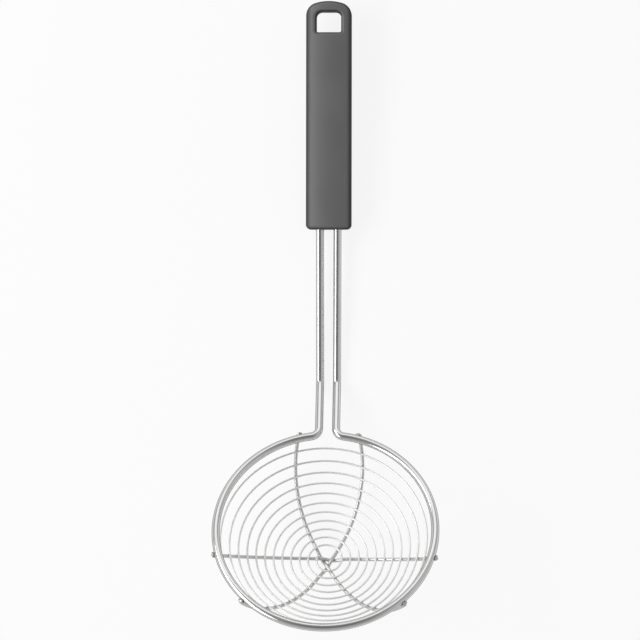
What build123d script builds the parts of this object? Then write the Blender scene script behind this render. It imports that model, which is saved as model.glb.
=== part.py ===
from build123d import *
import os
from math import asin, atan2, ceil, cos, degrees, hypot, pi, radians, sin, sqrt, tan

os.makedirs("parts", exist_ok=True)

# Driving dimensions, in millimetres and degrees

# Frame wire: one thick wire that is the rim, the twin neck and the two tails inside the handle
wire_diameter = 4.6
rim_radius = 62.5               # to the wire's centre line
shoulder_radius = 5.2           # where the rim turns up into the neck
neck_spacing_bend = 9.8         # between the two centre lines, at the bend and below it
neck_spacing_handle = 10.4      # between the two centre lines, where they enter the handle
bend_distance = 98.6            # from the rim's centre to the bend, in the rim's plane
bend_angle = 31.0               # between the rim's plane and the handle
bend_radius = 7.0               # to the wire's centre line
neck_length = 88.4              # from the bend to the handle's end
tail_length = 62.0              # straight run of each tail inside the handle
tail_splay_length = 8.0         # last run of each tail, turned outwards so that it can't pull out
tail_splay_angle = 12.0
tail_splay_radius = 12.0

# Basket: three ribs under the rim, and one thin wire wound into a spiral that lies in them
rib_diameter = 2.0
rib_count = 3
rib_first_angle = -0.8          # of the first rib, from +X, seen from above
rib_rim_offset = 17.3           # from the axis to each rib's plane, at the height of the rim
rib_middle_share = 0.825        # of a rib's diameter: its offset at the bottom, on the other side
rib_duck_reach = 12.0           # where a rib that dips under its neighbour is back at its height
rib_overhang = 1.2              # straight end, past the place where the rib touches the rim
rib_end_round_share = 0.6       # of the rib's radius
spiral_diameter = 1.2
spiral_inner_radius = 5.8
spiral_rim_inset = 2.07         # from the rim's centre line in to the spiral's outer end
spiral_start_angle = 165.0      # from +X, seen from above; here and at its end it lies on the first rib
spiral_end_angle = 194.0
spiral_whole_turns = 11
basket_depth = 35.2             # from the rim's centre line down to the spiral's
basket_floor_radius = 160.0     # of the nearly flat floor
basket_floor_reach = 13.0       # how far out the floor goes before the wall curls up
weld_gap = 0.06                 # left between wires that are welded where they touch

# Handle: a hard core moulded round the tails, and a soft skin moulded over the core
handle_length = 132.5
handle_width = 26.4
handle_thickness = 15.0
handle_crown_radius = 40.0      # across the front and the back
handle_top_radius = 28.0        # of the crowned top edge, seen from the front
handle_top_corner = 7.5
handle_end_corner = 2.8
handle_edge_round = 2.6
hang_hole_width = 14.4
hang_hole_height = 12.2
hang_hole_margin = 6.0          # from the top of the handle down to the hole
hang_hole_top_corner = 3.5
hang_hole_end_corner = 1.2
hang_hole_edge_round = 1.8
core_length = 96.0
core_side_wall = 0.8            # beside the splayed end of each tail
core_thickness = 9.2
core_corner = 2.0
core_top_corner = 6.0
window_width = 3.6              # slots through the core, which the skin fills and locks into
window_length = 12.0
window_spacing = 22.0
window_first = 16.0             # from the handle's end to the middle of the first window
window_count = 3
mould_gap = 0.02                # between wire and core, and between core and skin

# Steps and counts for drawing the curves
duck_steps = 4                  # route points along each slope of a rib's dip
spiral_steps_per_turn = 4       # each a biarc of a quarter turn
gap_points_per_turn = 36        # where the spiral's gap to itself is measured
closing_rounds = 60             # to find a rib's point from its place along the rib
rib_slope_step = 0.001          # along a rib, for its direction
spiral_slope_step = 0.001       # in turns, for the spiral's direction

# Sizes that follow

wire_radius = wire_diameter / 2
rib_radius = rib_diameter / 2
rib_end_round = rib_radius * rib_end_round_share
spiral_radius = spiral_diameter / 2
rib_offset = spiral_radius + weld_gap + rib_radius
rib_rim_distance = wire_radius + weld_gap + rib_radius
rib_duck = rib_diameter + 2 * weld_gap
rib_middle_offset = rib_diameter * rib_middle_share
spiral_turns = spiral_whole_turns + (spiral_end_angle - spiral_start_angle) / 360
spiral_pitch = (rim_radius - spiral_rim_inset - spiral_inner_radius) / spiral_turns
floor_angle = asin(basket_floor_reach / basket_floor_radius)
floor_rise = basket_floor_radius * (1 - cos(floor_angle))
tail_reach = neck_spacing_handle / 2 + tail_splay_length * sin(radians(tail_splay_angle))
core_half_width = tail_reach + wire_radius + core_side_wall
half_width = handle_width / 2
half_thickness = handle_thickness / 2


def wall_arc():
    """Radius and centre of the basket's wall arc, from which the ribs just touch the rim."""
    to_rim_r = rim_radius - basket_floor_reach
    to_rim_z = basket_depth - floor_rise
    along = -to_rim_r * sin(floor_angle) + to_rim_z * cos(floor_angle)
    excess = rib_offset - rib_rim_distance
    radius = (to_rim_r**2 + to_rim_z**2 - excess**2) / (2 * (along + excess))
    centre_r = basket_floor_reach - radius * sin(floor_angle)
    centre_z = -basket_depth + floor_rise + radius * cos(floor_angle)
    return radius, centre_r, centre_z


wall_radius, wall_centre_r, wall_centre_z = wall_arc()


def basket_height(r, outside=0.0):
    """Height of the basket's surface, or of one parallel to it outside, at a radius from the axis."""
    floor = basket_floor_radius + outside
    wall = wall_radius + outside
    if r < floor * sin(floor_angle):
        return basket_floor_radius - basket_depth - sqrt(floor**2 - r**2)
    return wall_centre_z - sqrt(wall**2 - (r - wall_centre_r) ** 2)


# The frame in which the pieces are made: the handle lies along +Y, its end at the origin.
# The basket's own frame has the rim's centre at its origin and its opening towards +Z.

slope = radians(bend_angle)
rim_centre = Vector(0, -neck_length - bend_distance * cos(slope), bend_distance * sin(slope))
basket_plane = Plane(origin=rim_centre, x_dir=(1, 0, 0), z_dir=(0, sin(slope), cos(slope)))


def in_basket(x, y, z=0.0):
    """A point given in the basket's frame."""
    return basket_plane.from_local_coords(Vector(x, y, z))


# Routes and tubes

def corner_arc(before, corner, after, radius):
    """An arc that rounds a corner between two straight runs."""
    back = (before - corner).normalized()
    ahead = (after - corner).normalized()
    half = radians(back.get_angle(ahead)) / 2
    reach = radius / tan(half)
    inwards = (back + ahead).normalized()
    middle = corner + inwards * (radius / sin(half) - radius)
    return ThreePointArc(corner + back * reach, middle, corner + ahead * reach)


def biarc(start, start_way, end, end_way):
    """Two arcs that meet smoothly and leave and arrive in the given directions."""
    chord = end - start
    both = start_way + end_way
    turn = 2 * (1 - start_way.dot(end_way))
    lean = chord.dot(both)
    reach = (sqrt(lean**2 + turn * chord.dot(chord)) - lean) / turn
    first_corner = start + start_way * reach
    last_corner = end - end_way * reach
    meet = (first_corner + last_corner) * 0.5
    way = (last_corner - first_corner).normalized()
    return [TangentArc(start, meet, tangent=start_way), TangentArc(meet, end, tangent=way)]


def smooth_route(points, ways):
    """Arcs through a row of points, each passed in its own direction."""
    arcs = []
    for i in range(len(points) - 1):
        arcs += biarc(points[i], ways[i], points[i + 1], ways[i + 1])
    return arcs


def tube(edges, radius):
    """A round wire along a route of edges that join end to end."""
    route = Wire(edges)
    section = Plane(origin=route @ 0, z_dir=route % 0) * Circle(radius)
    return sweep(section, path=route), route


def report_tube(name, solid, route, radius):
    """Prints a tube's volume as a share of its section times its length."""
    plain = pi * radius**2 * route.length
    share = solid.volume / plain
    print(f"{name}: length {route.length:.1f} mm, volume / (section x length) {share:.4f}")


# Frame wire

def rim_shoulder():
    """Where the rim's arc ends and where the neck starts, on the right side, in the basket's frame."""
    neck_x = neck_spacing_bend / 2
    centre_x = neck_x + shoulder_radius
    centre_y = sqrt((rim_radius + shoulder_radius) ** 2 - centre_x**2)
    share = rim_radius / (rim_radius + shoulder_radius)
    turn = atan2(centre_y, centre_x) / 2
    middle = (centre_x - shoulder_radius * cos(turn), centre_y - shoulder_radius * sin(turn))
    return (centre_x * share, centre_y * share), middle, (neck_x, centre_y)


def frame_half_route():
    """The right half of the frame wire, from the rim's far point to the end of its tail."""
    rim_end, shoulder_middle, neck_start = rim_shoulder()
    rim_turn = (atan2(rim_end[1], rim_end[0]) - pi / 2) / 2
    rim_middle = in_basket(rim_radius * cos(rim_turn), rim_radius * sin(rim_turn))
    neck_foot = in_basket(*neck_start)
    bend = Vector(neck_spacing_bend / 2, -neck_length, 0)
    tail_corner = Vector(neck_spacing_handle / 2, tail_length, 0)
    splay = radians(tail_splay_angle)
    tail_end = tail_corner + Vector(sin(splay), cos(splay), 0) * tail_splay_length
    bend_arc = corner_arc(neck_foot, bend, tail_corner, bend_radius)
    splay_arc = corner_arc(bend, tail_corner, tail_end, tail_splay_radius)
    return [
        ThreePointArc(in_basket(0, -rim_radius), rim_middle, in_basket(*rim_end)),
        ThreePointArc(in_basket(*rim_end), in_basket(*shoulder_middle), neck_foot),
        Line(neck_foot, bend_arc @ 0),
        bend_arc,
        Line(bend_arc @ 1, splay_arc @ 0),
        splay_arc,
        Line(splay_arc @ 1, tail_end),
    ]


def frame_wire(radius):
    """The frame wire as a solid, or a thicker one to cut its socket in the core."""
    right = frame_half_route()
    left = [edge.mirror(Plane.YZ) for edge in right]
    return tube(left + right, radius)


# Basket

def rib_dip(x):
    """How far a rib lies below its usual height, at a place along it, to pass under its neighbour."""
    crossing = rib_middle_offset * sqrt(3)
    if x <= -crossing or x >= rib_duck_reach:
        return 0.0
    if x < crossing:
        return rib_duck * (1 - cos(pi * (x + crossing) / (2 * crossing))) / 2
    return rib_duck * (1 + cos(pi * (x - crossing) / (rib_duck_reach - crossing))) / 2


def rib_side(r):
    """How far to the side the first rib lies, and its usual height, at a radius from the axis."""
    bottom = basket_height(rib_middle_offset, rib_offset)
    height = basket_height(r, rib_offset)
    risen = (height - bottom) / -bottom
    return rib_middle_offset - (rib_rim_offset + rib_middle_offset) * risen, height


def rib_at(x):
    """The point of the first rib at a place along it, found by closing in on its radius."""
    y = rib_middle_offset
    for _ in range(closing_rounds):
        y, height = rib_side(hypot(x, y))
    return Vector(x, y, height - rib_dip(x))


def rib_touch_x():
    """How far out along the rib it touches the rim."""
    touch = atan2(rim_radius - wall_centre_r, wall_centre_z)
    r = wall_centre_r + (wall_radius + rib_offset) * sin(touch)
    y, height = rib_side(r)
    return sqrt(r**2 - y**2)


def rib_places():
    """Places along a rib for its route's points: even steps outside, finer ones through the dip."""
    crossing = rib_middle_offset * sqrt(3)
    span = rib_touch_x() - rib_duck_reach
    outer_steps = ceil(span / rib_duck_reach)
    outer = [rib_duck_reach + span * i / outer_steps for i in range(outer_steps + 1)]
    down = [-crossing + 2 * crossing * i / duck_steps for i in range(duck_steps + 1)]
    rise = (rib_duck_reach - crossing) / duck_steps
    up = [crossing + rise * i for i in range(1, duck_steps)]
    return [-x for x in reversed(outer)] + down + up + outer


def rib():
    """The first rib, in the basket's frame, with straight and softly rounded ends."""
    points = []
    ways = []
    for x in rib_places():
        points.append(rib_at(x))
        ways.append((rib_at(x + rib_slope_step) - rib_at(x - rib_slope_step)).normalized())
    first_end = Line(points[0] - ways[0] * rib_overhang, points[0])
    last_end = Line(points[-1], points[-1] + ways[-1] * rib_overhang)
    solid, route = tube([first_end] + smooth_route(points, ways) + [last_end], rib_radius)
    ends = []
    for edge in solid.edges().filter_by(GeomType.CIRCLE):
        middle = edge.center(CenterOf.MASS)
        if min(abs(middle - route @ 0), abs(middle - route @ 1)) < rib_end_round:
            ends.append(edge)
    return fillet(ends, rib_end_round), route


def spiral_point(turn):
    """A point of the spiral's centre line, counted in turns from its inner end."""
    r = spiral_inner_radius + spiral_pitch * turn
    angle = radians(spiral_start_angle) + 2 * pi * turn
    return Vector(r * cos(angle), r * sin(angle), basket_height(r))


def spiral_way(turn):
    """The direction of the spiral's centre line."""
    ahead = spiral_point(turn + spiral_slope_step)
    behind = spiral_point(turn - spiral_slope_step)
    return (ahead - behind).normalized()


def spiral():
    """The spiral, in the basket's frame, with a short straight run at each end."""
    steps = ceil(spiral_turns * spiral_steps_per_turn)
    turns = [spiral_turns * i / steps for i in range(steps + 1)]
    points = [spiral_point(turn) for turn in turns]
    ways = [spiral_way(turn) for turn in turns]
    lead = Line(points[0] - ways[0] * spiral_diameter, points[0])
    tail = Line(points[-1], points[-1] + ways[-1] * spiral_diameter)
    return tube([lead] + smooth_route(points, ways) + [tail], spiral_radius)


def spiral_least_gap():
    """Least clear gap between the spiral's neighbouring turns, measured on points."""
    count = ceil(spiral_turns * gap_points_per_turn)
    points = [spiral_point(spiral_turns * i / count) for i in range(count + 1)]
    half_turn = gap_points_per_turn // 2
    least = min(abs(a - b) for i, a in enumerate(points) for b in points[i + half_turn:])
    return least - spiral_diameter


# Handle

def upright_face(right_edges):
    """A face that is the same on both sides of the middle, from the edges of its right half."""
    left_edges = [edge.mirror(Plane.YZ) for edge in right_edges]
    return make_face(Wire(right_edges + left_edges))


def handle_outline():
    """The handle seen from the front, standing on its end."""
    top_centre_y = handle_length - handle_top_radius
    corner_x = half_width - handle_top_corner
    reach = handle_top_radius - handle_top_corner
    corner_y = top_centre_y + sqrt(reach**2 - corner_x**2)
    meet_x = corner_x * handle_top_radius / reach
    meet_y = top_centre_y + (corner_y - top_centre_y) * handle_top_radius / reach
    inner_x = half_width - handle_end_corner
    return upright_face([
        Line((0, 0), (inner_x, 0)),
        RadiusArc((inner_x, 0), (half_width, handle_end_corner), -handle_end_corner),
        Line((half_width, handle_end_corner), (half_width, corner_y)),
        RadiusArc((half_width, corner_y), (meet_x, meet_y), -handle_top_corner),
        RadiusArc((meet_x, meet_y), (0, handle_length), -handle_top_radius),
    ])


def hang_hole_outline():
    """The hole at the top of the handle, seen from the front."""
    high = handle_length - hang_hole_margin
    low = high - hang_hole_height
    side = hang_hole_width / 2
    low_x = side - hang_hole_end_corner
    low_y = low + hang_hole_end_corner
    high_x = side - hang_hole_top_corner
    high_y = high - hang_hole_top_corner
    return upright_face([
        Line((0, low), (low_x, low)),
        RadiusArc((low_x, low), (side, low_y), -hang_hole_end_corner),
        Line((side, low_y), (side, high_y)),
        RadiusArc((side, high_y), (high_x, high), -hang_hole_top_corner),
        Line((high_x, high), (0, high)),
    ])


def handle_body():
    """The handle's outer form: crowned front and back, rounded edges and the hang hole."""
    plan = extrude(handle_outline() - hang_hole_outline(), amount=half_thickness, both=True)
    drop = handle_crown_radius - sqrt(handle_crown_radius**2 - half_width**2)
    edge_z = half_thickness - drop
    front = ThreePointArc((-half_width, 0, edge_z), (0, 0, half_thickness), (half_width, 0, edge_z))
    back = front.mirror(Plane.XY)
    sides = [Line((x, 0, -edge_z), (x, 0, edge_z)) for x in (-half_width, half_width)]
    section = make_face(Wire([front, back] + sides))
    body = plan & extrude(section, amount=handle_length, dir=(0, 1, 0))
    crowned = [body.faces().sort_by(Axis.Z)[i] for i in (0, -1)]
    outer = [edge for face in crowned for edge in face.outer_wire().edges()]
    body = fillet(outer, handle_edge_round)
    crowned = [body.faces().sort_by(Axis.Z)[i] for i in (0, -1)]
    rims = [edge for face in crowned for wire in face.inner_wires() for edge in wire.edges()]
    return fillet(rims, hang_hole_edge_round)


def core_block(grow):
    """The core without its sockets, or a larger one that leaves room for it in the skin."""
    side = core_half_width + grow
    top = core_length + grow
    face = upright_face([
        Line((0, 0), (side, 0)),
        Line((side, 0), (side, top - core_top_corner)),
        RadiusArc((side, top - core_top_corner), (side - core_top_corner, top), -core_top_corner),
        Line((side - core_top_corner, top), (0, top)),
    ])
    block = extrude(face, amount=core_thickness / 2 + grow, both=True)
    block = fillet(block.edges().filter_by(Axis.Y), core_corner)
    for i in range(window_count):
        slot = SlotOverall(window_length - 2 * grow, window_width - 2 * grow, rotation=90)
        slot = Pos(0, window_first + window_spacing * i) * slot
        block -= extrude(slot, amount=core_thickness, both=True)
    return block


# Pieces, each in the handle's frame

to_basket = basket_plane.location
pieces = {}

frame_solid, frame_route = frame_wire(wire_radius)
report_tube("frame_wire", frame_solid, frame_route, wire_radius)
pieces["frame_wire"] = frame_solid

first_rib, rib_route = rib()
report_tube("basket_rib", first_rib, rib_route, rib_radius)
for i in range(rib_count):
    rib_turn = Rot(0, 0, rib_first_angle + 360 * i / rib_count)
    pieces[f"basket_rib_{i + 1}"] = to_basket * rib_turn * first_rib

spiral_solid, spiral_route = spiral()
report_tube("basket_spiral", spiral_solid, spiral_route, spiral_radius)
print(f"basket_spiral: {spiral_turns:.2f} turns of pitch {spiral_pitch:.3f} mm")
print(f"basket_spiral: least gap to itself {spiral_least_gap():.2f} mm")
pieces["basket_spiral"] = to_basket * spiral_solid

socket, socket_route = frame_wire(wire_radius + mould_gap)
pieces["handle_core"] = core_block(0.0) - socket
pieces["handle_skin"] = handle_body() - core_block(mould_gap)


# Rest: the part lies on the neck's bend and on the lower edge of the handle's end, opening upwards

def rest_pitch():
    """How far the handle's far end is raised when bend and handle both touch the table."""
    bend_reach = bend_radius * tan(slope / 2)
    bend_round = bend_radius + wire_radius
    along = handle_edge_round + neck_length - bend_reach
    up = handle_edge_round - half_thickness - bend_radius
    return asin((handle_edge_round - bend_round) / hypot(along, up)) - atan2(up, along)


lay = Rot(degrees(rest_pitch()), 0, 0)
extent = Compound([lay * solid for solid in pieces.values()]).bounding_box()
centre = extent.center()
place = Pos(-centre.X, -centre.Y, -extent.min.Z) * lay

for name, solid in pieces.items():
    export_step(place * solid, f"parts/{name}.step")

print(f"overall {extent.size.X:.1f} x {extent.size.Y:.1f} x {extent.size.Z:.1f} mm")
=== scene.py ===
# %% [markdown]
# A spider skimmer in Blender
#
# The object is a kitchen skimmer: a steel wire rim on a twin-wire neck, a shallow basket made of one
# thin wire wound over three ribs, and a charcoal soft-touch handle with a hang hole.
# The solids come from a CAD model that is loaded as a fixed frame. This lesson lays finely drawn wires
# into the places of the CAD wires, adds the welds, and gives each surface a material that looks right
# from close by as well as from a step away. Handle and core keep the CAD model's own shapes.

# %% Load the frame
import math

import bmesh
import bpy
from mathutils import Matrix, Vector, kdtree, noise


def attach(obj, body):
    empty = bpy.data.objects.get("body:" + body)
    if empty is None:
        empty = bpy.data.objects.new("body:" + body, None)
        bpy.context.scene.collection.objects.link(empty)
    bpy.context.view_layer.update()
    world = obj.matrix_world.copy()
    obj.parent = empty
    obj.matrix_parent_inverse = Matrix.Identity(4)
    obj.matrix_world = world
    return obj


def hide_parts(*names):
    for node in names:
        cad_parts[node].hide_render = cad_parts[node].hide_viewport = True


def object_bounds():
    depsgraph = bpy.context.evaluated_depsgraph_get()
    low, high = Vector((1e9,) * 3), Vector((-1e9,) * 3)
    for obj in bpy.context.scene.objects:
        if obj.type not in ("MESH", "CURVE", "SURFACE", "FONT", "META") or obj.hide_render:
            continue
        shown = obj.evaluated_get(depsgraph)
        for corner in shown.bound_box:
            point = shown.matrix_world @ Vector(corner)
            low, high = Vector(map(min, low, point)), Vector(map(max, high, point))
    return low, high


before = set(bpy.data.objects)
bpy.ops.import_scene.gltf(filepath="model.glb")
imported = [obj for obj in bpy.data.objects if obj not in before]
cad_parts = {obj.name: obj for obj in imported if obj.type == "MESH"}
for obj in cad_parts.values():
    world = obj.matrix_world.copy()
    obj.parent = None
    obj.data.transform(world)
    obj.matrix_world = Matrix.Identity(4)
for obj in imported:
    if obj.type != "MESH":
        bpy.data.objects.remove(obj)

cad_low, cad_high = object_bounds()
print("CAD box in mm:", [round(c * 1000, 2) for c in (*cad_low, *cad_high)])

# %% [markdown]
# Units
#
# Blender counts in metres here, and a maker of kitchen tools thinks in millimetres. With one short value
# between the two, each length below can be written as it would stand on a drawing.

# %% Units
mm = 0.001
scene = bpy.context.scene
print("one millimetre is", mm, "m")

# %% [markdown]
# Two frames to work in
#
# The skimmer lies on the bend of its neck and on the far end of its handle, so nothing in it is quite
# level: the handle rises by its pitch. All could be worked out in the scene's own axes, but it is easier
# to think in two frames of its own: one along the handle, with its origin in the middle of the end where
# the wires come out, and one with its origin in the middle of the rim and its Z axis pointing out of
# the basket.

# %% The handle's frame and the basket's frame
handle_pitch = math.radians(3.334)
handle_end = Vector((0, 50.33, 7.34)) * mm
neck_length = 88.4 * mm
bend_distance = 98.6 * mm                 # from the neck's bend to the middle of the rim
bend_angle = math.radians(31)

handle_frame = Matrix.Translation(handle_end) @ Matrix.Rotation(handle_pitch, 4, "X")
rim_centre = Vector((
    0,
    -neck_length - bend_distance * math.cos(bend_angle),
    bend_distance * math.sin(bend_angle),
))
basket_frame = handle_frame @ Matrix.Translation(rim_centre) @ Matrix.Rotation(-bend_angle, 4, "X")
print("middle of the rim in mm:", [round(c * 1000, 2) for c in basket_frame.translation])

# %% [markdown]
# The camera
#
# The photograph looks down on the skimmer with a long lens from a good two and a half metres, a little
# from the right and a little from the basket's side. A camera far away with a narrow view keeps the
# handle and the basket in their true proportions. It is aimed with two leans and a very small roll,
# which are easier to match to a photograph one by one than three turns about the scene's axes.

# %% Camera
camera_distance = 2.600
camera_lens = 252.9                       # millimetres, on a sensor 36 mm wide
camera_lean_right = math.radians(2.0)
camera_lean_down = math.radians(4.25)
camera_roll = math.radians(-0.05)
aim = Vector((-4.65, -2.9, 14.8)) * mm

back = Vector((math.tan(camera_lean_right), -math.tan(camera_lean_down), 1)).normalized()
right = Vector((math.cos(camera_roll), -math.sin(camera_roll), 0))
right = (right - back * right.dot(back)).normalized()
up = back.cross(right)
turn = Matrix((right, up, back)).transposed().to_4x4()

camera_data = bpy.data.cameras.new("long_lens")
camera_data.sensor_width = 36
camera_data.lens = camera_lens
camera_data.clip_start = 0.1
camera_data.clip_end = 20
camera = bpy.data.objects.new("camera", camera_data)
camera.matrix_world = Matrix.Translation(aim + back * camera_distance) @ turn
scene.collection.objects.link(camera)
scene.camera = camera
print("camera at", [round(c, 3) for c in camera.location])

# %% [markdown]
# Light for bright wire
#
# Polished wire shows little of itself and much of its surroundings. A plain white room would make it
# vanish, and a black one would turn it into lines of black. Product photographers put a large soft light
# on one side, another beyond the object, and leave the place above the object dim. Each wire then has
# a bright stripe, a dark line and a grey side, which is what the eye reads as round metal.
# The same lights fall on the handle from the left and let it darken towards the right, where a third
# and very weak one keeps it from going black.

# %% Softboxes
def softbox(name, azimuth, elevation, distance, width, height, strength):
    """A rectangular soft light that faces the object. Azimuth 0 is +Y, and 90 is -X.

    The strength is how bright its face is, whatever its size.
    """
    light = bpy.data.lights.new(name, "AREA")
    light.shape = "RECTANGLE"
    light.size = width
    light.size_y = height
    light.energy = strength * math.pi * width * height
    lamp = bpy.data.objects.new(name, light)
    turn = math.radians(azimuth)
    rise = math.radians(elevation)
    way = Vector((-math.sin(turn) * math.cos(rise), math.cos(turn) * math.cos(rise), math.sin(rise)))
    lamp.location = way * distance
    lamp.rotation_mode = "QUATERNION"
    lamp.rotation_quaternion = way.to_track_quat("Z", "Y")
    lamp.visible_camera = False
    scene.collection.objects.link(lamp)
    print(name, round(light.energy, 2), "W")


softbox("left_softbox", azimuth=90, elevation=38, distance=1.5, width=2.0, height=0.58, strength=4.6)
softbox("far_softbox", azimuth=0, elevation=30, distance=1.4, width=1.4, height=0.8, strength=0.75)
softbox("right_softbox", azimuth=-90, elevation=38, distance=1.5, width=1.6, height=0.9, strength=0.15)

# %% [markdown]
# The room around it
#
# A picture of a real studio could surround the skimmer, but a ramp of greys from the horizon to straight
# above is enough for wire this thin, and it is easy to tune. It is palest at a low height, dim at the
# top, and dim again just over the floor, so that the wires keep a darker edge on both sides.

# %% Room
room_greys = ((0.0, 0.30), (0.28, 0.58), (0.85, 0.40), (0.975, 0.19))   # height from 0 to 1, and grey

world = bpy.data.worlds.new("studio")
scene.world = world
world.use_nodes = True
nodes, links = world.node_tree.nodes, world.node_tree.links
direction = nodes.new("ShaderNodeTexCoord")
split = nodes.new("ShaderNodeSeparateXYZ")
room = nodes.new("ShaderNodeValToRGB")
links.new(direction.outputs["Generated"], split.inputs[0])
links.new(split.outputs["Z"], room.inputs["Fac"])
links.new(room.outputs["Color"], nodes["Background"].inputs["Color"])
stops = room.color_ramp.elements
for height, grey in room_greys[1:-1]:
    stops.new(height)
for stop, (height, grey) in zip(stops, room_greys):
    stop.position = height
    stop.color = (grey, grey, grey, 1)
scene.view_settings.view_transform = "Standard"
print("room greys", [(round(stop.position, 3), round(stop.color[0], 2)) for stop in stops])

# %% [markdown]
# The floor
#
# The skimmer lies on a pale sheet that runs out to the horizon. With a plain white material the sheet
# would come out grey, and more light on it would also fall on the steel. So what the camera sees, and
# what the metal mirrors, is the sheet mixed with pure white. The rest of its own shading keeps the soft
# shadow under the skimmer.

# %% Floor
floor_size = 60.0
floor_gap = 0.05 * mm

floor_mesh = bpy.data.meshes.new("floor")
half = floor_size / 2
floor_z = cad_low.z - floor_gap
floor_mesh.from_pydata(
    [(-half, -half, floor_z), (half, -half, floor_z), (half, half, floor_z), (-half, half, floor_z)],
    [], [(0, 1, 2, 3)])
floor = bpy.data.objects.new("floor", floor_mesh)
scene.collection.objects.link(floor)
print("floor at", round(floor_z * 1000, 3), "mm")

# %% The floor's material
floor_grey = 0.86
floor_whiten = 0.86

paper = bpy.data.materials.new("studio_paper")
paper.use_nodes = True
nodes, links = paper.node_tree.nodes, paper.node_tree.links
nodes.clear()
matt = nodes.new("ShaderNodeBsdfDiffuse")
matt.inputs["Color"].default_value = (floor_grey, floor_grey, floor_grey, 1)
glow = nodes.new("ShaderNodeEmission")
glow.inputs["Color"].default_value = (1, 1, 1, 1)
rays = nodes.new("ShaderNodeLightPath")
seen = nodes.new("ShaderNodeMath")
seen.operation = "MAXIMUM"
seen_through = nodes.new("ShaderNodeMath")
seen_through.operation = "MAXIMUM"
share = nodes.new("ShaderNodeMath")
share.operation = "MULTIPLY"
share.inputs[1].default_value = floor_whiten
mix = nodes.new("ShaderNodeMixShader")
out = nodes.new("ShaderNodeOutputMaterial")
links.new(rays.outputs["Is Camera Ray"], seen.inputs[0])
links.new(rays.outputs["Is Glossy Ray"], seen.inputs[1])
links.new(seen.outputs[0], seen_through.inputs[0])
links.new(rays.outputs["Is Transmission Ray"], seen_through.inputs[1])
links.new(seen_through.outputs[0], share.inputs[0])
links.new(share.outputs[0], mix.inputs[0])
links.new(matt.outputs[0], mix.inputs[1])
links.new(glow.outputs[0], mix.inputs[2])
links.new(mix.outputs[0], out.inputs["Surface"])
floor_mesh.materials.append(paper)
print("floor in", paper.name)

# %% [markdown]
# How to draw a wire
#
# A wire is a circle carried along a line. Blender can do that with a curve and a bevel, but a mesh made
# ring by ring gives two things more: each point can remember how far along the wire it is, which the
# material needs for its drawing lines, and the ends can be rounded.
# Each ring is turned as little as possible from the one before, so the mesh doesn't twist.

# %% Rounded ends
end_rings = 4


def way_along(line, i):
    """The direction in which a line of points runs at one of them."""
    return (line[min(i + 1, len(line) - 1)] - line[max(i - 1, 0)]).normalized()


def round_ends(line, ways, radii, end_round):
    """Sets the ends of a line back and adds smaller and smaller rings up to the old tips, in an arc."""
    radius = radii[0]
    for end in (0, -1):
        out_way = ways[end] * (1 if end else -1)
        tip = line[end]
        for k in range(1, end_rings + 1):
            bow = math.pi / 2 * k / end_rings
            at = len(line) if end else 0
            line.insert(at, tip + out_way * end_round * (math.sin(bow) - 1))
            radii.insert(at, radius - end_round * (1 - math.cos(bow)))
            ways.insert(at, ways[end])
    line[end_rings] = line[end_rings] + ways[end_rings] * end_round
    line[-end_rings - 1] = line[-end_rings - 1] - ways[-end_rings - 1] * end_round


# %% A tube made of rings
def put_on_part(name, mesh):
    """A mesh as an object that rides on the part."""
    piece = bpy.data.objects.new(name, mesh)
    scene.collection.objects.link(piece)
    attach(piece, "root")
    return piece


def sweep_wire(name, line, radius, sides, end_round=0.0):
    """A closed tube along a line of points. Each point keeps its place along and across the wire."""
    line = [Vector(p) for p in line]
    ways = [way_along(line, i) for i in range(len(line))]
    radii = [radius] * len(line)
    if end_round:
        round_ends(line, ways, radii, end_round)
    side = ways[0].orthogonal().normalized()
    points, places = [], []
    run = 0.0
    for i, (centre, way, width) in enumerate(zip(line, ways, radii)):
        if i:
            run += (centre - line[i - 1]).length
        side = (side - way * side.dot(way)).normalized()
        other = way.cross(side)
        for k in range(sides):
            angle = 2 * math.pi * k / sides
            spoke = side * math.cos(angle) + other * math.sin(angle)
            points.append(centre + spoke * width)
            places.append((run, width * math.cos(angle), width * math.sin(angle)))
    faces = []
    for ring in range(0, (len(line) - 1) * sides, sides):
        for k in range(sides):
            k_next = (k + 1) % sides
            faces.append((ring + k, ring + k_next, ring + sides + k_next, ring + sides + k))
    faces.append(tuple(reversed(range(sides))))
    faces.append(tuple(range((len(line) - 1) * sides, len(line) * sides)))
    mesh = bpy.data.meshes.new(name)
    mesh.from_pydata(points, [], faces)
    place = mesh.attributes.new("wire_place", "FLOAT_VECTOR", "POINT")
    place.data.foreach_set("vector", [c for p in places for c in p])
    mesh.polygons.foreach_set("use_smooth", [True] * (len(faces) - 2) + [False] * 2)
    print(name, "length", round(run * 1000, 1), "mm,", len(faces), "faces")
    return put_on_part(name, mesh)


# %% [markdown]
# The frame wire
#
# Rim, neck and the two tails in the handle are one thick wire. It was bent into the rim's circle, turned
# outwards at the two shoulders, bent once more where the neck leaves the plane of the rim, and its ends
# went into the mould of the handle. It could be drawn as a ring with two rods, but there is no joint to
# see anywhere, so one tube is right. Only the right half is worked out, and the left half is its mirror
# image.

# %% Helpers for bends and straight runs
def rounded_corner(before, corner, after, radius, steps):
    """Points of the arc that rounds a corner."""
    back_way = (before - corner).normalized()
    next_way = (after - corner).normalized()
    half = back_way.angle(next_way) / 2
    centre = corner + (back_way + next_way).normalized() * radius / math.sin(half)
    start = corner + back_way * radius / math.tan(half) - centre
    end = corner + next_way * radius / math.tan(half) - centre
    return [centre + start.slerp(end, i / steps) * radius for i in range(steps + 1)]


def straight(start, end, spacing):
    """Points along a straight run, without its own ends."""
    count = max(1, round((end - start).length / spacing))
    return [start.lerp(end, i / count) for i in range(1, count)]


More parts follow.
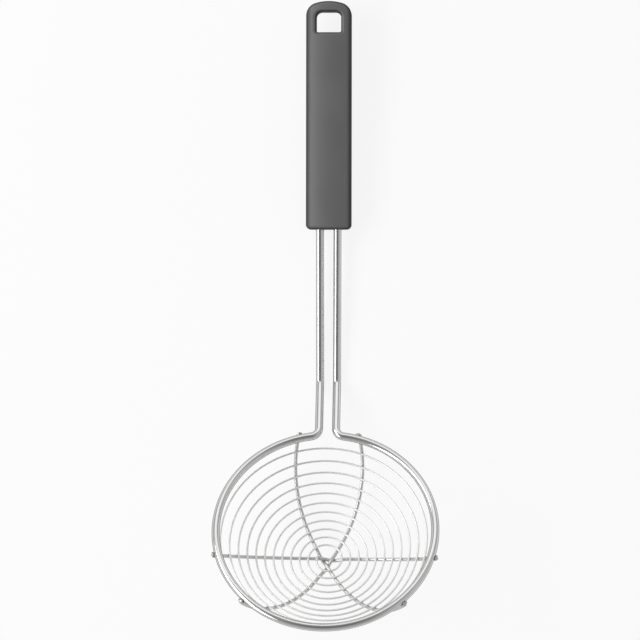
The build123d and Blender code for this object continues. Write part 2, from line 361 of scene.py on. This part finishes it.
# %% The line of the frame wire
wire_radius = 2.3 * mm
rim_radius = 62.5 * mm
shoulder_radius = 5.2 * mm
neck_spacing_bend = 9.8 * mm
neck_spacing_handle = 10.4 * mm
bend_radius = 7.0 * mm
bend_steps = 10
tail_length = 62.0 * mm
tail_splay_length = 8.0 * mm
tail_splay_angle = math.radians(12)
tail_splay_radius = 12.0 * mm
tail_splay_steps = 4
rim_step = math.radians(1.5)
arc_steps_least = 8
run_step = 3.0 * mm


def circle_points(x, y, radius, start, end):
    """Points on an arc in the basket's frame, as points in the handle's frame."""
    steps = max(arc_steps_least, round(abs(end - start) * radius / (rim_step * rim_radius)))
    to_handle = handle_frame.inverted() @ basket_frame
    angles = [start + (end - start) * i / steps for i in range(steps + 1)]
    return [to_handle @ Vector((x + radius * math.cos(a), y + radius * math.sin(a), 0)) for a in angles]


shoulder_x = neck_spacing_bend / 2 + shoulder_radius
shoulder_y = math.sqrt((rim_radius + shoulder_radius) ** 2 - shoulder_x**2)
rim_end = math.atan2(shoulder_y, shoulder_x)
rim = circle_points(0, 0, rim_radius, -math.pi / 2, rim_end)
shoulder = circle_points(shoulder_x, shoulder_y, shoulder_radius, rim_end + math.pi, math.pi)
bend_corner = Vector((neck_spacing_bend / 2, -neck_length, 0))
tail_corner = Vector((neck_spacing_handle / 2, tail_length, 0))
splay_way = Vector((math.sin(tail_splay_angle), math.cos(tail_splay_angle), 0))
tail_end = tail_corner + splay_way * tail_splay_length
bend = rounded_corner(shoulder[-1], bend_corner, tail_corner, bend_radius, bend_steps)
splay = rounded_corner(bend_corner, tail_corner, tail_end, tail_splay_radius, tail_splay_steps)

right_half = rim + shoulder[1:] + straight(shoulder[-1], bend[0], run_step) + bend
right_half += straight(bend[-1], splay[0], run_step) + splay + straight(splay[-1], tail_end, run_step)
right_half.append(tail_end)
left_half = [Vector((-p.x, p.y, p.z)) for p in right_half[1:]]
frame_line = [handle_frame @ p for p in reversed(left_half)] + [handle_frame @ p for p in right_half]
print("frame wire:", len(frame_line), "points")

# %% The frame wire itself
frame_wire = sweep_wire("frame_wire_drawn", frame_line, wire_radius, sides=40)
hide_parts("frame_wire")

# %% [markdown]
# The bowl
#
# Ribs and spiral share one surface: a nearly flat floor that curls up into a wall. The wall's radius is
# not chosen freely. It is the one with which the ribs, lying outside the spiral, just touch the rim.
# With that radius known, the height of either wire follows from its distance to the axis.

# %% The bowl's surface
rib_radius = 1.0 * mm
spiral_radius = 0.6 * mm
weld_gap = 0.06 * mm                      # between wires that touch, which the welds bridge
bowl_depth = 35.2 * mm
bowl_floor_radius = 160 * mm
bowl_floor_reach = 13 * mm

rib_offset = spiral_radius + weld_gap + rib_radius
rib_rim_distance = wire_radius + weld_gap + rib_radius
floor_angle = math.asin(bowl_floor_reach / bowl_floor_radius)
floor_rise = bowl_floor_radius * (1 - math.cos(floor_angle))
to_rim_r = rim_radius - bowl_floor_reach
to_rim_z = bowl_depth - floor_rise
rim_along = -to_rim_r * math.sin(floor_angle) + to_rim_z * math.cos(floor_angle)
excess = rib_offset - rib_rim_distance
wall_radius = (to_rim_r**2 + to_rim_z**2 - excess**2) / (2 * (rim_along + excess))
wall_centre_r = bowl_floor_reach - wall_radius * math.sin(floor_angle)
wall_centre_z = -bowl_depth + floor_rise + wall_radius * math.cos(floor_angle)


def bowl_height(r, outside=0.0):
    """Height of the bowl's surface, or of one parallel to it outside, at a distance from the axis."""
    if r < (bowl_floor_radius + outside) * math.sin(floor_angle):
        return bowl_floor_radius - bowl_depth - math.sqrt((bowl_floor_radius + outside) ** 2 - r**2)
    return wall_centre_z - math.sqrt((wall_radius + outside) ** 2 - (r - wall_centre_r) ** 2)


print("wall radius", round(wall_radius * 1000, 2), "mm")

# %% [markdown]
# The ribs
#
# Three ribs carry the spiral. None of them runs through the very middle: each passes it on one side and
# leans out to the other side at the rim, so that the three leave a small triangle at the bottom.
# Where two ribs cross, one has to dip under the other. Each rib goes over one neighbour and under
# the next, so all three are the same piece, turned by a third of a circle.

# %% The line of a rib
rib_rim_offset = 17.3 * mm                # to the side, at the rim
rib_middle_offset = 1.65 * mm             # to the other side, in the middle
rib_duck_reach = 12.0 * mm
rib_overhang = 1.2 * mm
rib_step = 0.8 * mm
rib_side_tries = 60

rib_crossing = rib_middle_offset * math.sqrt(3)
rib_duck = 2 * rib_radius + 2 * weld_gap
rib_bottom = bowl_height(rib_middle_offset, rib_offset)


def with_straight_ends(line, length):
    """A line of points with a straight run of that length added at both ends."""
    first_way = (line[0] - line[1]).normalized()
    last_way = (line[-1] - line[-2]).normalized()
    return [line[0] + first_way * length] + line + [line[-1] + last_way * length]


def rib_side(r):
    """How far to the side a rib lies, and its height, at a distance from the axis."""
    height = bowl_height(r, rib_offset)
    risen = (height - rib_bottom) / -rib_bottom
    return rib_middle_offset - (rib_rim_offset + rib_middle_offset) * risen, height


def rib_dip(x):
    """How far a rib lies below its usual height to pass under its neighbour."""
    if x <= -rib_crossing or x >= rib_duck_reach:
        return 0.0
    if x < rib_crossing:
        return rib_duck * (1 - math.cos(math.pi * (x + rib_crossing) / (2 * rib_crossing))) / 2
    return rib_duck * (1 + math.cos(math.pi * (x - rib_crossing) / (rib_duck_reach - rib_crossing))) / 2


def rib_at(x):
    """The point of the first rib at a place along it. Its side place is tried until it settles."""
    y = rib_middle_offset
    for _ in range(rib_side_tries):
        y, height = rib_side(math.hypot(x, y))
    return Vector((x, y, height - rib_dip(x)))


touch_angle = math.atan2(rim_radius - wall_centre_r, wall_centre_z)
touch_r = wall_centre_r + (wall_radius + rib_offset) * math.sin(touch_angle)
touch_x = math.sqrt(touch_r**2 - rib_side(touch_r)[0] ** 2)
rib_steps = round(touch_x / rib_step)
rib_places = [touch_x * i / rib_steps for i in range(-rib_steps, rib_steps + 1)]
rib_line = with_straight_ends([rib_at(x) for x in rib_places], rib_overhang)
print("a rib touches the rim", round(touch_x * 1000, 1), "mm from its middle")

# %% Three ribs
rib_count = 3
rib_first_angle = math.radians(-0.8)
rib_end_round = 0.6 * mm

ribs = []
rib_lines = []
for i in range(rib_count):
    place = basket_frame @ Matrix.Rotation(rib_first_angle + 2 * math.pi * i / rib_count, 4, "Z")
    rib_lines.append([place @ p for p in rib_line])
    rib = sweep_wire(f"rib_drawn_{i + 1}", rib_lines[-1], rib_radius, sides=24, end_round=rib_end_round)
    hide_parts(f"basket_rib_{i + 1}")
    ribs.append(rib)

# %% [markdown]
# The spiral
#
# The net of the basket is one thin wire, wound from the middle outwards in eleven turns and laid into
# the ribs. A formula gives each point: the distance from the axis grows evenly with the angle, and the
# height is the bowl's. That is shorter than a list of rings, and it is how the wire is really wound.

# %% Spiral
spiral_inner_radius = 5.8 * mm
spiral_rim_inset = 2.07 * mm
spiral_start = 165                        # degrees, from the basket's X axis
spiral_end = 194                          # degrees, after the whole turns
whole_turns = 11
points_per_turn = 90
spiral_turns = whole_turns + (spiral_end - spiral_start) / 360
spiral_pitch = (rim_radius - spiral_rim_inset - spiral_inner_radius) / spiral_turns


def spiral_at(turn):
    """A point of the spiral in the basket's frame, counted in turns from its inner end."""
    r = spiral_inner_radius + spiral_pitch * turn
    angle = math.radians(spiral_start) + 2 * math.pi * turn
    return Vector((r * math.cos(angle), r * math.sin(angle), bowl_height(r)))


spiral_count = math.ceil(spiral_turns * points_per_turn)
spiral_points = [spiral_at(spiral_turns * i / spiral_count) for i in range(spiral_count + 1)]
spiral_line = [basket_frame @ p for p in with_straight_ends(spiral_points, 2 * spiral_radius)]
spiral = sweep_wire("spiral_drawn", spiral_line, spiral_radius, sides=16)
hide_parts("basket_spiral")

# %% [markdown]
# The welds
#
# Where two wires of a basket cross, they are pressed together and a current melts them into one
# another. What is left is a small web of metal in the corners of the crossing. At the rim the end of
# each rib is pressed on the wire and spreads into a blunt lump. Both can be lumps of one kind: a ball
# drawn out along the wires, with an uneven skin. A ball made from a divided cube has even faces all
# round, where one made of rings would pinch at its poles. There are about seventy lumps, so they are
# joined into two meshes, one for the spiral and one for the ribs.

# %% Lumps of weld
skin_scale = 1.7                          # how quickly the unevenness changes over a lump
seam_reach = 0.001 * mm


def lump_shape(detail):
    """Points and faces of a ball of radius 1, from a cube whose six sides are divided.

    Each side is made facing along X and then turned to face along X, Y or Z.
    """
    points, faces = [], []
    for axis in range(3):
        for sign in (-1, 1):
            first = len(points)
            for i in range(detail + 1):
                for j in range(detail + 1):
                    u = math.tan(math.pi / 4 * (2 * i / detail - 1))
                    v = math.tan(math.pi / 4 * (2 * j / detail - 1))
                    side = Vector((sign, u * sign, v))
                    turned = Vector((side[-axis], side[1 - axis], side[2 - axis]))
                    points.append(turned.normalized())
            for i in range(detail):
                for j in range(detail):
                    a = first + i * (detail + 1) + j
                    faces.append((a, a + detail + 1, a + detail + 2, a + 1))
    return points, faces


def weld_mesh(name, lumps, detail, unevenness):
    """One object of many lumps. A lump is its middle, its three axes and its half sizes along them."""
    ball, ball_faces = lump_shape(detail)
    points, faces = [], []
    for middle, axes, sizes in lumps:
        first = len(points)
        for way in ball:
            swell = 1 + unevenness * noise.noise(way * skin_scale + middle / mm)
            offset = sum((axis * size * c for axis, size, c in zip(axes, sizes, way)), Vector())
            points.append(middle + offset * swell)
        faces += [tuple(first + k for k in face) for face in ball_faces]
    mesh = bpy.data.meshes.new(name)
    mesh.from_pydata(points, [], faces)
    bm = bmesh.new()
    bm.from_mesh(mesh)
    bmesh.ops.remove_doubles(bm, verts=bm.verts, dist=seam_reach)
    bmesh.ops.recalc_face_normals(bm, faces=bm.faces)
    bm.to_mesh(mesh)
    bm.free()
    mesh.polygons.foreach_set("use_smooth", [True] * len(mesh.polygons))
    print(name, len(lumps), "lumps,", len(mesh.polygons), "faces")
    return put_on_part(name, mesh)


# %% [markdown]
# Where wires cross
#
# The lumps could be placed by hand or by a formula for each crossing. It is surer to look where the drawn
# wires really come close. Each line of points is first filled up with points between its own, so that
# a crossing isn't missed between two of them. A search tree then gives, for every point of one wire,
# the nearest point of the other, and a crossing is where that distance is smallest.

# %% Helpers that find crossings
def search_tree(line):
    """A tree that finds the nearest point of a line quickly."""
    tree = kdtree.KDTree(len(line))
    for i, point in enumerate(line):
        tree.insert(point, i)
    tree.balance()
    return tree


def dense(line, parts):
    """The points of a line with more points between them."""
    return [a.lerp(b, k / parts) for a, b in zip(line, line[1:]) for k in range(parts)] + [line[-1]]


def crossings(line_a, line_b, reach):
    """Where line a comes nearer to line b than just before and after: the distance, and both places."""
    tree = search_tree(line_b)
    near = [tree.find(p) for p in line_a]
    found = []
    for i in range(1, len(near) - 1):
        _, j, distance = near[i]
        if distance < reach and near[i - 1][2] >= distance < near[i + 1][2]:
            found.append((distance, i, j))
    return found


frame_fine = dense(frame_line, 3)
ribs_fine = [dense(line, 5) for line in rib_lines]
spiral_fine = dense(spiral_line, 3)
print("points to search:", len(frame_fine), sum(len(line) for line in ribs_fine), len(spiral_fine))

# %% Where the spiral is welded to the ribs
web_sizes = (0.775 * mm, 0.95 * mm, 0.42 * mm)        # along the spiral, along the rib, and between them
web_reach = spiral_radius + rib_radius + 0.25 * mm

webs = []
for rib_fine in ribs_fine:
    for _, i, j in crossings(spiral_fine, rib_fine, web_reach):
        out_way = (spiral_fine[i] - rib_fine[j]).normalized()
        middle = rib_fine[j] + out_way * rib_radius
        along_spiral = way_along(spiral_fine, i)
        along_rib = way_along(rib_fine, j)
        along_rib = (along_rib - along_spiral * along_rib.dot(along_spiral)).normalized()
        webs.append((middle, (along_spiral, along_rib, out_way), web_sizes))
spiral_welds = weld_mesh("spiral_welds", webs, detail=6, unevenness=0.18)

# %% Where the ribs are welded to the rim and to one another
nub_sizes = (1.75 * mm, 1.45 * mm, 0.95 * mm)         # along the rim, across it, and towards it
crossing_sizes = (1.6 * mm, 1.2 * mm, 0.55 * mm)      # along one rib, across it, and towards the other
crossing_reach = 2 * rib_radius + 0.3 * mm

lumps = []
frame_tree = search_tree(frame_fine)
for rib_fine in ribs_fine:
    for tip in (rib_fine[0], rib_fine[-1]):
        on_rim, i, _ = frame_tree.find(tip)
        to_rim = (on_rim - tip).normalized()
        along_rim = way_along(frame_fine, i)
        seat = on_rim - to_rim * wire_radius
        lumps.append((seat.lerp(tip, 0.5), (along_rim, along_rim.cross(to_rim), to_rim), nub_sizes))
for a in range(rib_count):
    line_a = ribs_fine[a]
    line_b = ribs_fine[(a + 1) % rib_count]
    _, i, j = min(crossings(line_a, line_b, crossing_reach))
    out_way = (line_a[i] - line_b[j]).normalized()
    along_a = way_along(line_a, i)
    middle = line_a[i].lerp(line_b[j], 0.5)
    lumps.append((middle, (along_a, out_way.cross(along_a), out_way), crossing_sizes))
rib_welds = weld_mesh("rib_welds", lumps, detail=8, unevenness=0.16)

# %% [markdown]
# Building blocks for the materials
#
# Every surface of the skimmer is mixed from the same few nodes: a noise, a range that turns the noise
# into a roughness, a mix of two close tones, and a bump. The nodes could be drawn by hand in the shader
# editor. Written as small functions they can be used again, and the recipes below stay short.

# %% Helpers for materials
noise_low = 0.3                           # a noise seldom leaves the range between these two
noise_high = 0.7


def new_surface(name):
    """A new material, its shader, its nodes and its links."""
    material = bpy.data.materials.new(name)
    material.use_nodes = True
    tree = material.node_tree
    return material, tree.nodes["Principled BSDF"], tree.nodes, tree.links


def noise_node(nodes, scale, detail):
    """A noise. A larger scale gives finer grains, and more detail adds finer ones yet."""
    node = nodes.new("ShaderNodeTexNoise")
    node.inputs["Scale"].default_value = scale
    node.inputs["Detail"].default_value = detail
    return node


def range_node(nodes, from_min, from_max, to_min, to_max):
    """Turns numbers of one range into numbers of another."""
    node = nodes.new("ShaderNodeMapRange")
    node.inputs["From Min"].default_value = from_min
    node.inputs["From Max"].default_value = from_max
    node.inputs["To Min"].default_value = to_min
    node.inputs["To Max"].default_value = to_max
    return node


def tone_node(nodes, dark, light):
    """A mix of two colours."""
    node = nodes.new("ShaderNodeMix")
    node.data_type = "RGBA"
    node.inputs["A"].default_value = (*dark, 1)
    node.inputs["B"].default_value = (*light, 1)
    return node


def bump_node(nodes, strength, distance):
    """A bump as deep as the distance, or less with a lower strength."""
    node = nodes.new("ShaderNodeBump")
    node.inputs["Strength"].default_value = strength
    node.inputs["Distance"].default_value = distance
    return node


def math_node(nodes, operation):
    """A step of arithmetic with one or two numbers."""
    node = nodes.new("ShaderNodeMath")
    node.operation = operation
    return node


# %% [markdown]
# Polished steel wire
#
# Wire is pulled through a die, which leaves fine lines along it. The noise that makes them is read at
# the place stored on each point, stretched along the wire, so the lines follow every bend. They change
# the roughness and the relief, and a slower noise changes the tone a little. The specular tint of a metal
# is its brightness at a grazing look. It is low on the thick wires, which gives them their dark outlines,
# and higher on the thin spiral, which a dark outline would cover from both sides.

# %% Drawn steel
line_stretch = 60                         # how many times longer than wide a drawing line is
line_depth = 0.002 * mm
darker = 0.92
lighter = 1.06


def steel(name, colour, edge, roughness, spread, line_scale):
    """A drawn and polished steel, with lines along the wire."""
    material, shader, nodes, links = new_surface(name)
    shader.inputs["Metallic"].default_value = 1.0
    shader.inputs["Specular Tint"].default_value = (edge, edge, edge, 1)
    place = nodes.new("ShaderNodeAttribute")
    place.attribute_name = "wire_place"
    stretch = nodes.new("ShaderNodeMapping")
    stretch.inputs["Scale"].default_value = (line_scale / line_stretch, line_scale, line_scale)
    lines = noise_node(nodes, scale=1.0, detail=3.0)
    where = nodes.new("ShaderNodeTexCoord")
    cloud = noise_node(nodes, scale=60.0, detail=4.0)
    tone = tone_node(nodes, [c * darker for c in colour], [min(1, c * lighter) for c in colour])
    rough = range_node(nodes, noise_low, noise_high, roughness, roughness + spread)
    bump = bump_node(nodes, strength=1.0, distance=line_depth)
    links.new(place.outputs["Vector"], stretch.inputs["Vector"])
    links.new(stretch.outputs["Vector"], lines.inputs["Vector"])
    links.new(where.outputs["Object"], cloud.inputs["Vector"])
    links.new(lines.outputs["Fac"], rough.inputs["Value"])
    links.new(rough.outputs["Result"], shader.inputs["Roughness"])
    links.new(cloud.outputs["Fac"], tone.inputs["Factor"])
    links.new(tone.outputs["Result"], shader.inputs["Base Color"])
    links.new(lines.outputs["Fac"], bump.inputs["Height"])
    links.new(bump.outputs["Normal"], shader.inputs["Normal"])
    print(name, "roughness", roughness, "to", round(roughness + spread, 2))
    return material


frame_steel = steel("frame_steel_drawn", (0.69, 0.69, 0.685), edge=0.0, roughness=0.10,
                    spread=0.06, line_scale=2200)
rib_steel = steel("rib_steel_drawn", (0.68, 0.68, 0.675), edge=0.3, roughness=0.40,
                  spread=0.10, line_scale=3600)
spiral_steel = steel("spiral_steel_drawn", (0.90, 0.90, 0.895), edge=0.8, roughness=0.50,
                     spread=0.12, line_scale=5000)
frame_wire.data.materials.append(frame_steel)
spiral.data.materials.append(spiral_steel)
for rib in ribs:
    rib.data.materials.append(rib_steel)

# %% [markdown]
# Metal of the welds
#
# A weld has melted and set, so it has no drawing lines. It is darker than the wires, with a pitted skin
# and a slightly brown cast. The wires' steel could be used again, but its lines need a place along the
# wire, which a lump doesn't have. Here one fine noise sets how deep, how dark and how rough the skin is,
# so the three agree.

# %% Set steel
pit_tone = 0.7                            # how bright the pits are beside the rest
pit_depth = 0.03 * mm


def weld_steel(name, colour, edge, smoothest, roughest):
    """Steel that has melted and set."""
    material, shader, nodes, links = new_surface(name)
    shader.inputs["Metallic"].default_value = 1.0
    shader.inputs["Specular Tint"].default_value = (edge, edge, edge, 1)
    where = nodes.new("ShaderNodeTexCoord")
    pits = noise_node(nodes, scale=2600.0, detail=4.0)
    tone = tone_node(nodes, [c * pit_tone for c in colour], colour)
    rough = range_node(nodes, noise_low, noise_high, smoothest, roughest)
    bump = bump_node(nodes, strength=0.6, distance=pit_depth)
    links.new(where.outputs["Object"], pits.inputs["Vector"])
    links.new(pits.outputs["Fac"], tone.inputs["Factor"])
    links.new(pits.outputs["Fac"], rough.inputs["Value"])
    links.new(pits.outputs["Fac"], bump.inputs["Height"])
    links.new(tone.outputs["Result"], shader.inputs["Base Color"])
    links.new(rough.outputs["Result"], shader.inputs["Roughness"])
    links.new(bump.outputs["Normal"], shader.inputs["Normal"])
    return material


weld_metal = weld_steel("weld_steel_set", (0.62, 0.615, 0.605), edge=0.2, smoothest=0.26, roughest=0.48)
for weld in (spiral_welds, rib_welds):
    weld.data.materials.append(weld_metal)
    print(weld.name, "in", weld_metal.name)

# %% [markdown]
# The handle
#
# The outer body of the handle is a soft-touch moulding in charcoal. Its shape comes from the CAD model
# as it is. The surface of such a mould is eroded by sparks to a very fine grain, so the rubber looks
# satin: a fine bump breaks up the highlight, and a slow cloudiness in the roughness keeps it from
# looking like plain plastic. In the photograph the rounded edges are darker and duller than the broad
# front, so there the colour is darkened with painted shade and the surface made more matt. A second
# material on the edges would end in a hard line. Instead, where the surface faces and how far it is from
# the middle line tell how much of that it gets, so the painted shade is soft and fixed on the handle, not
# on the view.

# %% Where the handle's broad faces are
handle_width = 26.4 * mm
edge_band = 3.6 * mm
facing_low = 0.55                         # turned this far from the broad face, it is all edge
facing_high = 0.97                        # and from here on it is all face


# This share masks the painted shade on the handle's edges, and their extra matt.
def face_share(nodes, links, where):
    """An output that is 1 on the handle's broad faces and falls to 0 at its edges."""
    facing = nodes.new("ShaderNodeVectorMath")
    facing.operation = "DOT_PRODUCT"
    facing.inputs[1].default_value = handle_frame.to_3x3() @ Vector((0, 0, 1))
    front_or_back = math_node(nodes, "ABSOLUTE")
    broad = range_node(nodes, facing_low, facing_high, 0.0, 1.0)
    broad.interpolation_type = "SMOOTHSTEP"
    apart = nodes.new("ShaderNodeSeparateXYZ")
    across = math_node(nodes, "ABSOLUTE")
    inner = range_node(nodes, handle_width / 2, handle_width / 2 - edge_band, 0.0, 1.0)
    inner.interpolation_type = "SMOOTHSTEP"
    both = math_node(nodes, "MULTIPLY")
    links.new(where.outputs["Normal"], facing.inputs[0])
    links.new(facing.outputs["Value"], front_or_back.inputs[0])
    links.new(front_or_back.outputs[0], broad.inputs["Value"])
    links.new(where.outputs["Object"], apart.inputs[0])
    links.new(apart.outputs["X"], across.inputs[0])
    links.new(across.outputs[0], inner.inputs["Value"])
    links.new(broad.outputs["Result"], both.inputs[0])
    links.new(inner.outputs["Result"], both.inputs[1])
    return both.outputs[0]


# %% Soft-touch skin
edge_matt = 0.38                          # how much rougher the edges are
cloud_below = 0.05                        # how far the cloudiness takes the roughness down
cloud_above = 0.07                        # and up
grain_depth = 0.02 * mm


def soft_touch(name, dark, light, roughness, edge_shade_share):
    """A moulded rubber with a fine grain, and edges that are matt and darker by a share."""
    # Painted shade: the colour of the edges is darkened to a share of the dark tone.
    material, shader, nodes, links = new_surface(name)
    shader.inputs["Specular IOR Level"].default_value = 1.0
    where = nodes.new("ShaderNodeTexCoord")
    face = face_share(nodes, links, where)
    grain = noise_node(nodes, scale=5200.0, detail=2.0)
    bump = bump_node(nodes, strength=0.35, distance=grain_depth)
    cloud = noise_node(nodes, scale=38.0, detail=5.0)
    tone = tone_node(nodes, dark, light)
    # painted shade: towards the edges the colour falls to this share of the dark tone
    painted_edge_shade = tone_node(nodes, [c * edge_shade_share for c in dark], light)
    rough = range_node(nodes, noise_low, noise_high, roughness - cloud_below, roughness + cloud_above)
    matt = range_node(nodes, 0.0, 1.0, edge_matt, 0.0)
    rough_in_all = math_node(nodes, "ADD")
    links.new(where.outputs["Object"], grain.inputs["Vector"])
    links.new(where.outputs["Object"], cloud.inputs["Vector"])
    links.new(cloud.outputs["Fac"], tone.inputs["Factor"])
    links.new(tone.outputs["Result"], painted_edge_shade.inputs["B"])
    links.new(face, painted_edge_shade.inputs["Factor"])
    links.new(painted_edge_shade.outputs["Result"], shader.inputs["Base Color"])
    links.new(cloud.outputs["Fac"], rough.inputs["Value"])
    links.new(face, matt.inputs["Value"])
    links.new(rough.outputs["Result"], rough_in_all.inputs[0])
    links.new(matt.outputs["Result"], rough_in_all.inputs[1])
    links.new(rough_in_all.outputs[0], shader.inputs["Roughness"])
    links.new(grain.outputs["Fac"], bump.inputs["Height"])
    links.new(bump.outputs["Normal"], shader.inputs["Normal"])
    return material


def dress(node, material):
    """Puts one material on a CAD node."""
    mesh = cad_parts[node].data
    mesh.materials.clear()
    mesh.materials.append(material)
    mesh.polygons.foreach_set("material_index", [0] * len(mesh.polygons))
    print(node, "in", material.name)


charcoal = ((0.106, 0.106, 0.107), (0.120, 0.120, 0.121))
core_black = ((0.030, 0.030, 0.032), (0.045, 0.045, 0.046))
# the handle's edges get painted shade down to a fifth of the dark tone; the core gets none
dress("handle_skin", soft_touch("charcoal_soft_touch", *charcoal, roughness=0.50, edge_shade_share=0.2))
dress("handle_core", soft_touch("core_plastic_dark", *core_black, roughness=0.42, edge_shade_share=1.0))
